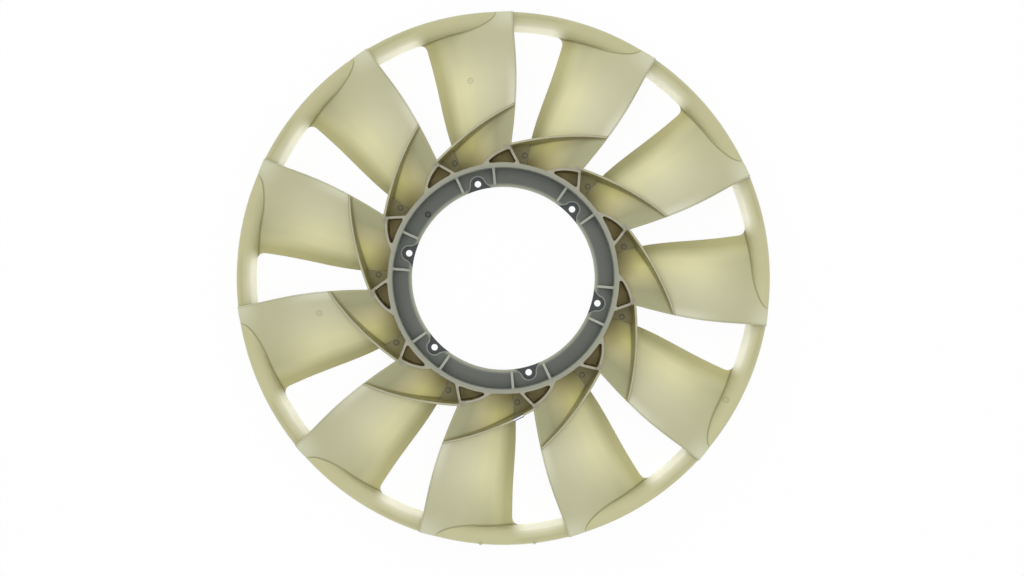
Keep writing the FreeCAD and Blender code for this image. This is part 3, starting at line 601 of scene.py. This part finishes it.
def spring_steel(form, colours):
    """Bright rolled strip, with painted shade down its two sides."""
    board = Board("spring_steel_finish")
    plan = NylonPlan(board, form)
    off_middle = plan.spiral_gap() + form.spiral_wall / 2
    rolled = board.grooves(off_middle, 3000.0, 2.0)
    smudge = board.noise(plan.point, 180.0, 3.0)
    colour = board.mix(smudge * 0.35, colours.clip_bright, colours.steel_worn)
    # Painted shade down the clip's sides, strongest on its top
    shaded = board.rise(abs(off_middle - 0.3 * MM), 0.5 * MM, 1.2 * MM)
    on_top = board.rise(plan.z, CLIP_TOP - 2.5 * MM, CLIP_TOP - 1 * MM)
    colour = board.mix(shaded * (on_top * 0.6 + 0.4), colour, colours.clip_dark)
    return board.finish(Base_Color=colour, Metallic=0.5, Roughness=0.3 + rolled * 0.14 + smudge * 0.08,
                        Normal=board.bump(rolled, 0.1, 0.1 * MM))


def dress(node, material):
    """Gives a carried-over node its finish."""
    slots = frame["nodes"][node].material_slots
    if not slots:
        raise RuntimeError(f"{node} has no material slot")
    for slot in slots:
        slot.material = material


# Operators

class FAN_OT_moulding(bpy.types.Operator):
    """Give the one-piece moulding its natural nylon"""

    bl_idname = "fan.moulding"
    bl_label = "Nylon Moulding"

    def execute(self, context):
        scene = context.scene
        dress(MOULDING, nylon(scene.fan_form, scene.fan_colours))
        return {"FINISHED"}


class FAN_OT_steel_ring(bpy.types.Operator):
    """Give the mounting ring its blackened steel"""

    bl_idname = "fan.steel_ring"
    bl_label = "Steel Mounting Ring"

    def execute(self, context):
        dress(STEEL, blackened_steel(context.scene.fan_colours))
        return {"FINISHED"}


class FAN_OT_clip(bpy.types.Operator):
    """Give the balance clip its bright spring steel"""

    bl_idname = "fan.clip"
    bl_label = "Balance Clip"

    def execute(self, context):
        scene = context.scene
        dress(CLIP, spring_steel(scene.fan_form, scene.fan_colours))
        return {"FINISHED"}


class FAN_OT_stage(bpy.types.Operator):
    """Add the floor, the soft lights and the camera on the fan's axis"""

    bl_idname = "fan.stage"
    bl_label = "Floor, Lights and Camera"

    def execute(self, context):
        scene = context.scene
        self.lay_floor(scene)
        self.hang_lights(scene)
        self.set_camera(scene)
        scene.view_settings.view_transform = "Standard"
        return {"FINISHED"}

    def lay_floor(self, scene):
        mesh = bpy.data.meshes.new("floor")
        shape = bmesh.new()
        bmesh.ops.create_grid(shape, x_segments=1, y_segments=1, size=FLOOR_SIZE / 2)
        bmesh.ops.translate(shape, verts=shape.verts, vec=(0, 0, REAR_HEIGHT))
        shape.to_mesh(mesh)
        shape.free()
        floor = bpy.data.objects.new("floor", mesh)
        scene.collection.objects.link(floor)
        mesh.materials.append(self.floor_finish(scene.fan_colours))

    def floor_finish(self, colours):
        """White to the eye and to reflections, a plain diffuse floor to the light that falls on it."""
        board = Board("floor_finish")
        rays = [board.node("ShaderNodeLightPath", output=name) for name in (
            "Is Camera Ray", "Is Glossy Ray", "Is Transmission Ray")]
        seen = board.node("ShaderNodeMath", {"operation": "ADD", "use_clamp": True},
                          {0: rays[0] + rays[1], 1: rays[2]})
        glow = board.node("ShaderNodeEmission", sockets={"Color": (1, 1, 1), "Strength": 1.0})
        board.finish(Base_Color=colours.floor_white, Roughness=0.9)
        shown = board.node("ShaderNodeMixShader", sockets={0: seen * 0.95})
        mixer = shown.socket.node
        board.tree.links.new(board.shader.outputs[0], mixer.inputs[1])
        board.tree.links.new(glow.socket, mixer.inputs[2])
        board.tree.links.new(shown.socket, board.tree.nodes["Material Output"].inputs["Surface"])
        return board.material

    def hang_lights(self, scene):
        world = bpy.data.worlds.new("studio")
        scene.world = world
        world.use_nodes = True
        world.node_tree.nodes["Background"].inputs["Color"].default_value = (1, 1, 1, 1)
        world.node_tree.nodes["Background"].inputs["Strength"].default_value = 0.5
        for name, spot, side, power in (
            ("front_softbox", Vector((0.0, 0.0, 3.4)), 1.8, 48.0),
            ("key_softbox", Vector((-1.6, 1.9, 2.4)), 1.8, 24.0),
            ("fill_softbox", Vector((2.0, -1.2, 2.2)), 2.2, 10.0),
        ):
            lamp = bpy.data.lights.new(name, "AREA")
            lamp.shape = "SQUARE"
            lamp.size = side
            lamp.energy = power
            item = bpy.data.objects.new(name, lamp)
            item.location = spot
            item.rotation_euler = (-spot).to_track_quat("-Z", "Y").to_euler()
            scene.collection.objects.link(item)

    def set_camera(self, scene):
        lens = bpy.data.cameras.new("camera")
        lens.lens = CAMERA_LENS
        lens.sensor_width = 36.0
        lens.shift_x = FAN_LEFT_OF_CENTRE / IMAGE_WIDTH
        lens.shift_y = -FAN_ABOVE_CENTRE / IMAGE_WIDTH
        camera = bpy.data.objects.new("camera", lens)
        camera.location = (0, 0, CAMERA_HEIGHT)
        scene.collection.objects.link(camera)
        scene.camera = camera


class FAN_PT_panel(bpy.types.Panel):
    """Steps and settings of the fan"""

    bl_idname = "FAN_PT_panel"
    bl_label = "Axial Fan Impeller"
    bl_space_type = "VIEW_3D"
    bl_region_type = "UI"
    bl_category = "Fan"

    def draw(self, context):
        layout = self.layout
        for step in STEPS:
            layout.operator(step.bl_idname)
        for group in (context.scene.fan_form, context.scene.fan_colours):
            box = layout.box()
            for name in group.__annotations__:
                box.prop(group, name)


STEPS = (FAN_OT_moulding, FAN_OT_steel_ring, FAN_OT_clip, FAN_OT_stage)
CLASSES = (FanForm, FanColours, *STEPS, FAN_PT_panel)


def register():
    for kind in CLASSES:
        bpy.utils.register_class(kind)
    bpy.types.Scene.fan_form = PointerProperty(type=FanForm)
    bpy.types.Scene.fan_colours = PointerProperty(type=FanColours)


def unregister():
    del bpy.types.Scene.fan_colours
    del bpy.types.Scene.fan_form
    for kind in reversed(CLASSES):
        bpy.utils.unregister_class(kind)


def main():
    register()
    bpy.context.view_layer.update()
    bpy.ops.fan.moulding()
    bpy.ops.fan.steel_ring()
    bpy.ops.fan.clip()
    bpy.ops.fan.stage()
    bpy.context.view_layer.update()


if __name__ == "__main__":
    main()
